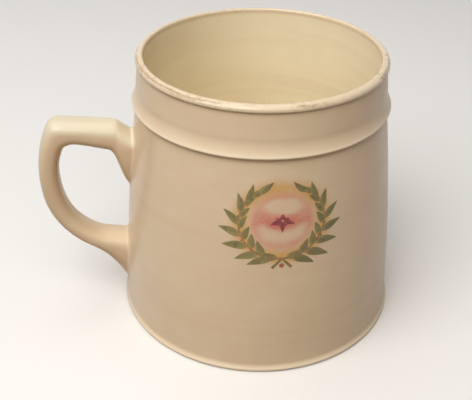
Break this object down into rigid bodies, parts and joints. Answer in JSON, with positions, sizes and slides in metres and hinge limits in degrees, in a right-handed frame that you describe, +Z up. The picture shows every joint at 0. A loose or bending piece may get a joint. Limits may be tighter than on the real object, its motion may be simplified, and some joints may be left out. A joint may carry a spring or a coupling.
{
  "type": "handled mug",
  "caption": "Tapered pottery mug with a rolled lip, beaded collar, flared foot, strap handle luted on at two flared joints, and a printed laurel wreath.",
  "frame": {"origin": "middle of the whole length on the surface that the mug stands on; the mug's own axis is at x = 11.425 mm, y = 0", "axes": "+Z up along the mug's axis, -X towards the handle, -Y towards the printed front"},
  "size_m": [0.1088, 0.086, 0.0823],
  "materials": {
    "glaze": "glossy warm cream glaze, faintly crazed, worn at the lip",
    "slip_glaze": "glossy, a little paler where slip and glaze pooled",
    "leaf_print": "olive green enamel print with ochre stems",
    "crimson_print": "crimson enamel print",
    "pink_print": "pink enamel print"
  },
  "bodies": {
    "root": {"mug_body": "glaze", "handle": "glaze", "upper_handle_slip": "slip_glaze", "lower_handle_slip": "slip_glaze", "laurel_wreath": "leaf_print", "rosette": "crimson_print", "berry": "pink_print"}
  },
  "joints": []
}
